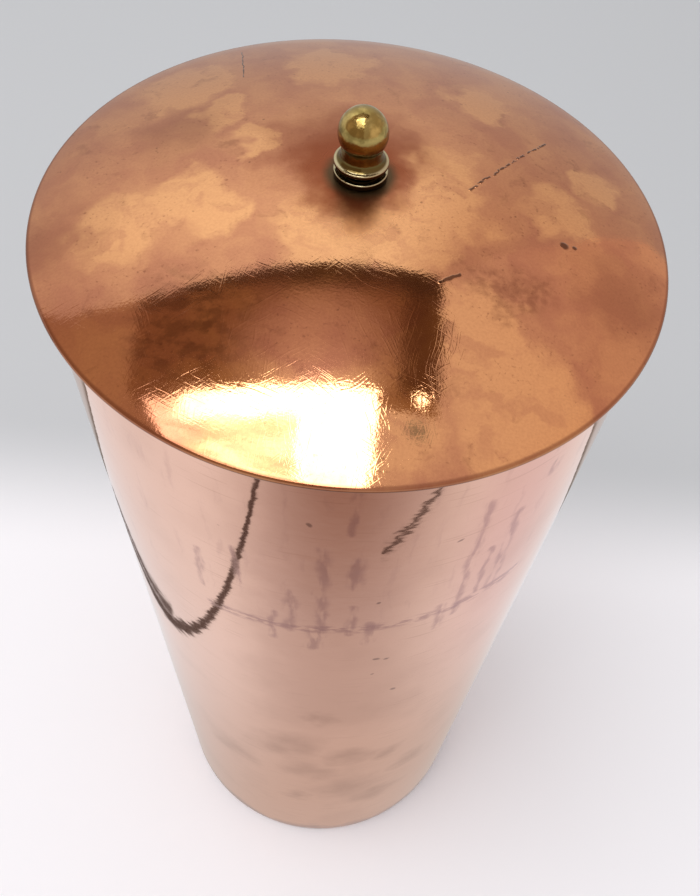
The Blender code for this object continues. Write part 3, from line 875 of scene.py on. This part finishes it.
# %% Dress the pieces
finishes = {
    jug_wall: (wall_copper, "polished_copper"),
    lid_dome: (lid_copper, "aged_copper"),
    brass_knob: (brass, "turned_brass"),
    washer: (brass, "turned_brass"),
    pan: (wall_copper, "polished_copper"),
    collar: (satin_copper, "aged_copper"),
    foot_fillet: (tin_solder, "tin_solder"),
    collar_fillet: (tin_solder, "tin_solder"),
    inner_washer: (zinc_steel, "plated_steel"),
    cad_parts["knob_screw"]: (zinc_steel, "plated_steel"),
}
for piece, (material, slot) in finishes.items():
    piece.data.materials.clear()
    piece.data.materials.append(material)
print("dressed", len(finishes), "pieces")

# %% [markdown]
# ## The floor and its light
#
# The floor is plain and pale, and the light on it is soft: an even sky, and one large lamp
# overhead, a little to the front left. The floor's colour goes from white in front to light
# grey behind, a painted shade for the dimmer light further back. Reflections don't see the
# floor or the lamp: the next step gives them cards.

# %% Floor and lamp
PAPER_WHITE = "#F6F4F8"
FAR_SHADE_GREY = "#C6C7CA"
SKY_STRENGTH = 0.72
LAMP_WATTS = 11
LAMP_PLACE = (-0.5, -0.2, 1.6)


def card(name, width, depth, centre):
    """A flat rectangle facing up, for the stage."""
    mesh = bpy.data.meshes.new(name)
    corners = [(x * width / 2, y * depth / 2, 0) for x, y in ((-1, -1), (1, -1), (1, 1), (-1, 1))]
    mesh.from_pydata(corners, [], [(0, 1, 2, 3)])
    made = bpy.data.objects.new(name, mesh)
    made.location = centre
    bpy.context.scene.collection.objects.link(made)
    return made


floor = card("floor", 8, 8, (0, 0, 0))
paper = bpy.data.materials.new("paper_with_painted_far_shade")
paper.use_nodes = True
tree = paper.node_tree
shader = tree.nodes["Principled BSDF"]
shader.inputs["Roughness"].default_value = 0.9
shader.inputs["Specular IOR Level"].default_value = 0.1
place = add(tree, "ShaderNodeTexCoord", out="Object")
depth = add(tree, "ShaderNodeSeparateXYZ", {0: place}, out="Y")
# Painted shade: the floor turns light grey behind the jug, standing for the dimmer light further back.
behind = add(tree, "ShaderNodeMapRange", {0: depth, 1: 0.06, 2: 0.14}, interpolation_type="SMOOTHSTEP")
colour = tinted(tree, linear(PAPER_WHITE), linear(FAR_SHADE_GREY), behind)
tree.links.new(colour, shader.inputs["Base Color"])
floor.data.materials.append(paper)
floor.visible_glossy = False

world = bpy.data.worlds.new("even_sky")
world.use_nodes = True
world.node_tree.nodes["Background"].inputs["Color"].default_value = linear("#FFFFFF")
world.node_tree.nodes["Background"].inputs["Strength"].default_value = SKY_STRENGTH
bpy.context.scene.world = world

lamp = bpy.data.lights.new("large_soft_lamp", "AREA")
lamp.shape = "SQUARE"
lamp.size = 1.0
lamp.energy = LAMP_WATTS
lamp_object = bpy.data.objects.new("large_soft_lamp", lamp)
lamp_object.location = LAMP_PLACE
downward = Vector((0, 0, 0.1)) - lamp_object.location
lamp_object.rotation_euler = downward.to_track_quat("-Z", "Y").to_euler()
lamp_object.visible_glossy = False
bpy.context.scene.collection.objects.link(lamp_object)
print("lamp of", LAMP_WATTS, "W at", LAMP_PLACE, "m")

# %% [markdown]
# ## What the metal sees
#
# A mirror needs something to mirror. Three cards stand in for the room round the jug. They
# show only in reflections, and neither light the floor nor stand in the way of another view.
# Their patterns make an ordinary room: a white table with dark joints and a shaded front, a
# grey wall close behind, and a brown ceiling with a skylight and a bright panel beside it.

# %% Cards for reflections


def glowing(name, made, colour_of):
    """Gives a card a material that shines by itself, in a colour worked out by a function."""
    material = bpy.data.materials.new(name)
    material.use_nodes = True
    tree = material.node_tree
    tree.nodes.clear()
    place = add(tree, "ShaderNodeTexCoord", out="Object")
    glow = add(tree, "ShaderNodeEmission", {"Color": colour_of(tree, place)})
    output = tree.nodes.new("ShaderNodeOutputMaterial")
    tree.links.new(glow, output.inputs["Surface"])
    made.data.materials.append(material)
    made.visible_camera = False
    made.visible_diffuse = False
    made.visible_shadow = False
    made.visible_transmission = False


# %% [markdown]
# The table is white, lilac on the right, and pink and brown where something shades it in
# front. Its dark joints are what the wall shows as jagged curves. Lengths are in metres.

# %% Table card
TABLE_WHITE = "#E9E8EB"
TABLE_LILAC = "#E0D7DE"
TABLE_SHADE = "#C9BDB6"
TABLE_FRONT = "#A08478"
JOINT_BROWN = "#3F2A20"


def table_top(tree, place):
    """A white table, pink and brown where it is shaded in front, with dark joints."""
    base_shade = spot(tree, place, (0.012, -0.03, 0.0), 0.125, 0.7)
    lilac = spot(tree, place, (0.19, -0.04, 0.0), 0.13, 0.9)
    squeezed = add(tree, "ShaderNodeVectorMath", {0: place, 1: (0.86, 1.0, 1.0)}, operation="MULTIPLY")
    front = spot(tree, squeezed, (0.008, -0.245, 0.0), 0.20, 1.0)
    colour = tinted(tree, linear(TABLE_WHITE), linear(TABLE_LILAC), lilac)
    colour = tinted(tree, colour, linear(TABLE_SHADE), base_shade)
    colour = tinted(tree, colour, linear(TABLE_FRONT), front)
    worn = ragged(tree, place, 0.02, 0.0015)
    joints = strongest(tree, [
        stroke(tree, worn, (-0.112, 0.09, 0), (-0.104, -0.4, 0), 0.0078, 0.5),
        stroke(tree, worn, (-0.122, 0.09, 0), (-0.116, -0.01, 0), 0.014, 1.0),
        stroke(tree, worn, (0.062, -0.170, 0), (0.4, -0.160, 0), 0.0062, 0.5),
    ])
    return tinted(tree, colour, linear(JOINT_BROWN), joints, 0.92)


table_card = card("table_card", 8, 8, (0, 0, -0.5 * MM))
glowing("table_top", table_card, table_top)
print("the table card lies", round(-table_card.location.z / MM, 1), "mm under the floor")

# %% [markdown]
# The ceiling is brown. A darker part of it, seen in the near half of the lid, has a rosy and
# a pale glow, a dark column on its right and a dark edge behind. The skylight is what shows
# as a white pane on the lid, with a golden panel and a bright stripe beside it. Lengths are
# shares of the height above the lid, because a mirror only sees directions.

# %% Ceiling card
CEILING = 2.5
CEILING_BROWN = "#B69E8A"
CEILING_PALE = "#DED2D0"
CEILING_RIGHT = "#DBC9C0"
SHADED_BROWN = "#93765C"
ROSY_GLOW = "#CDB9B6"
PALE_GLOW = "#F0E2E2"
COLUMN_BROWN = "#5E4533"
EDGE_BROWN = "#4E3C30"
SPOT_GREY = "#8A9090"
PANEL_DIM = (1.9, 1.8, 1.7, 1)
PANEL_BRIGHT = (3.5, 3.3, 3.4, 1)
SKYLIGHT = (6.0, 6.0, 6.0, 1)
overhead = CEILING - rim_height


def ceiling(tree, place):
    """A brown ceiling, with a skylight and a bright panel beside it."""
    plan = add(tree, "ShaderNodeVectorMath", {0: place, "Scale": 1 / overhead}, operation="SCALE")
    wavy = ragged(tree, plan, 0.10, 0.02)
    parts = add(tree, "ShaderNodeSeparateXYZ", {0: wavy})
    dark = block(tree, wavy, (-0.72, 0.08, -1), (0.27, 1.6, 1), 0.03)

    def within(mask):
        return add(tree, "ShaderNodeMath", {0: mask, 1: dark}, operation="MULTIPLY")

    past_right = add(tree, "ShaderNodeMapRange", {0: parts, 1: 0.10, 2: 0.12})
    dim_right = add(tree, "ShaderNodeMapRange", {0: parts, 1: 0.35, 2: 1.0})
    rosy = spot(tree, wavy, (-0.10, 0.24, 0), 0.34, 0.8)
    pale = spot(tree, wavy, (-0.08, 0.10, 0), 0.22, 0.9)
    column = block(tree, wavy, (0.20, 0.16, -1), (0.30, 0.7, 1), 0.07)
    under_wall = add(tree, "ShaderNodeMapRange", {0: parts.node.outputs["Y"], 1: 0.45, 2: 0.56},
                     interpolation_type="SMOOTHSTEP")
    colour = tinted(tree, linear(CEILING_BROWN), linear(CEILING_PALE), past_right)
    colour = tinted(tree, colour, linear(CEILING_RIGHT), dim_right)
    colour = tinted(tree, colour, linear(SHADED_BROWN), dark)
    colour = tinted(tree, colour, linear(ROSY_GLOW), within(rosy))
    colour = tinted(tree, colour, linear(PALE_GLOW), within(pale))
    colour = tinted(tree, colour, linear(COLUMN_BROWN), within(column), 0.9)
    colour = tinted(tree, colour, linear(EDGE_BROWN), within(under_wall), 0.92)
    grey_spot = spot(tree, wavy, (0.226, 0.01, 0), 0.05, 0.9)
    colour = tinted(tree, colour, linear(SPOT_GREY), grey_spot, 0.9)
    panel = block(tree, wavy, (-0.65, -0.6, -1), (-0.12, 0.09, 1), 0.018)
    panel_light = noise_mask(tree, plan, (0.3, 0.08, 1.0), 0.35, 0.65, 3.0)
    panel_light = tinted(tree, PANEL_DIM, PANEL_BRIGHT, panel_light)
    colour = tinted(tree, colour, panel_light, panel)
    stripe = block(tree, wavy, (-0.50, 0.045, -1), (-0.12, 0.10, 1), 0.03)
    pane = block(tree, plan, (-0.13, -0.6, -1), (0.094, 0.118, 1), 0.012)
    spark = spot(tree, ragged(tree, plan, 0.03, 0.03), (0.235, 0.11, 0), 0.024, 0.3)
    return tinted(tree, colour, SKYLIGHT, strongest(tree, [pane, stripe, spark]))


ceiling_card = card("ceiling_card", 40, 40, (0, 0, CEILING))
glowing("ceiling", ceiling_card, ceiling)
print("the ceiling is", CEILING, "m up and the jug", round(rim_height, 2), "m tall")

# %% [markdown]
# The wall is grey and brighter above. Its card is not a rectangle: the top slopes gently, and
# the right side is cut off at a slant, like the edge of a board leaned against the wall.
# Lengths are in metres.

# %% Wall card
WALL_GREY = "#C3C1C1"
WALL_LIT = "#FFFFFF"
WALL_LEFT = "#DED6D6"
WALL_RIGHT = "#D2C4BF"
WALL_FOOT = "#746B62"
WALL_EDGE = [(-4, 0), (0.55, 0), (0.40, 0.20), (0.20, 0.27), (0.14, 0.304), (0.124, 0.33),
             (0.12, 0.352), (0.103, 0.382), (0.093, 0.401), (0.085, 0.436), (0.071, 0.465), (0, 0.464),
             (-0.06, 0.472), (-0.114, 0.486), (-0.169, 0.497), (-0.237, 0.49), (-0.303, 0.464),
             (-0.34, 0.42), (-4, 0.42)]


def near_wall(tree, place):
    """A grey wall, brighter above, darker to the sides and at its foot."""
    parts = add(tree, "ShaderNodeSeparateXYZ", {0: place})
    height = parts.node.outputs["Y"]
    bright = add(tree, "ShaderNodeMapRange", {0: height, 1: 0.24, 2: 0.39}, interpolation_type="SMOOTHSTEP")
    left = add(tree, "ShaderNodeMapRange", {0: parts, 1: -0.06, 2: -0.30}, interpolation_type="SMOOTHSTEP")
    right = add(tree, "ShaderNodeMapRange", {0: parts, 1: 0.005, 2: 0.08}, interpolation_type="SMOOTHSTEP")
    lit = tinted(tree, linear(WALL_LIT), linear(WALL_LEFT), left)
    lit = tinted(tree, lit, linear(WALL_RIGHT), right)
    colour = tinted(tree, linear(WALL_GREY), lit, bright)
    base = add(tree, "ShaderNodeMapRange", {0: height, 1: 0.035, 2: 0.0}, interpolation_type="SMOOTHSTEP")
    return tinted(tree, colour, linear(WALL_FOOT), base)


mesh = bpy.data.meshes.new("near_wall_card")
mesh.from_pydata([(x, z, 0) for x, z in WALL_EDGE], [], [range(len(WALL_EDGE))])
wall_card = bpy.data.objects.new("near_wall_card", mesh)
wall_card.location = (0, 0.1, 0)
wall_card.rotation_euler.x = math.radians(90)
bpy.context.scene.collection.objects.link(wall_card)
glowing("near_wall", wall_card, near_wall)
print("the wall card stands", round(wall_card.location.y, 2), "m behind the jug's axis")

# %% [markdown]
# ## Camera
#
# The view is from above and in front, close to the jug, which is why the wall seems to narrow
# so much towards the foot. The camera is turned a few degrees to the right and leaned on its
# side, and a small shift of the lens brings the jug back towards the middle.

# %% Camera
CAMERA_BACK = 136.3 * MM
CAMERA_HEIGHT = 379.2 * MM
PITCH, YAW, ROLL = (math.radians(angle) for angle in (57.93, 6.43, 9.57))

camera = bpy.data.cameras.new("camera")
camera.lens = 36.52
camera.sensor_width = 36.0
camera.shift_x = -0.0454
camera.shift_y = 0.067
camera.clip_start = 0.01
camera_object = bpy.data.objects.new("camera", camera)
looking = Vector((math.sin(YAW) * math.cos(PITCH), math.cos(YAW) * math.cos(PITCH), -math.sin(PITCH)))
level = Vector((math.cos(YAW), -math.sin(YAW), 0))
right = level * math.cos(ROLL) + level.cross(looking) * math.sin(ROLL)
axes = Matrix((right, (-looking).cross(right), -looking)).transposed()
camera_object.matrix_world = Matrix.Translation((0, -CAMERA_BACK, CAMERA_HEIGHT)) @ axes.to_4x4()
bpy.context.scene.collection.objects.link(camera_object)
bpy.context.scene.camera = camera_object
bpy.context.scene.view_settings.view_transform = "Standard"
print("lens", camera.lens, "mm, from", round(CAMERA_HEIGHT / MM), "mm above the floor")
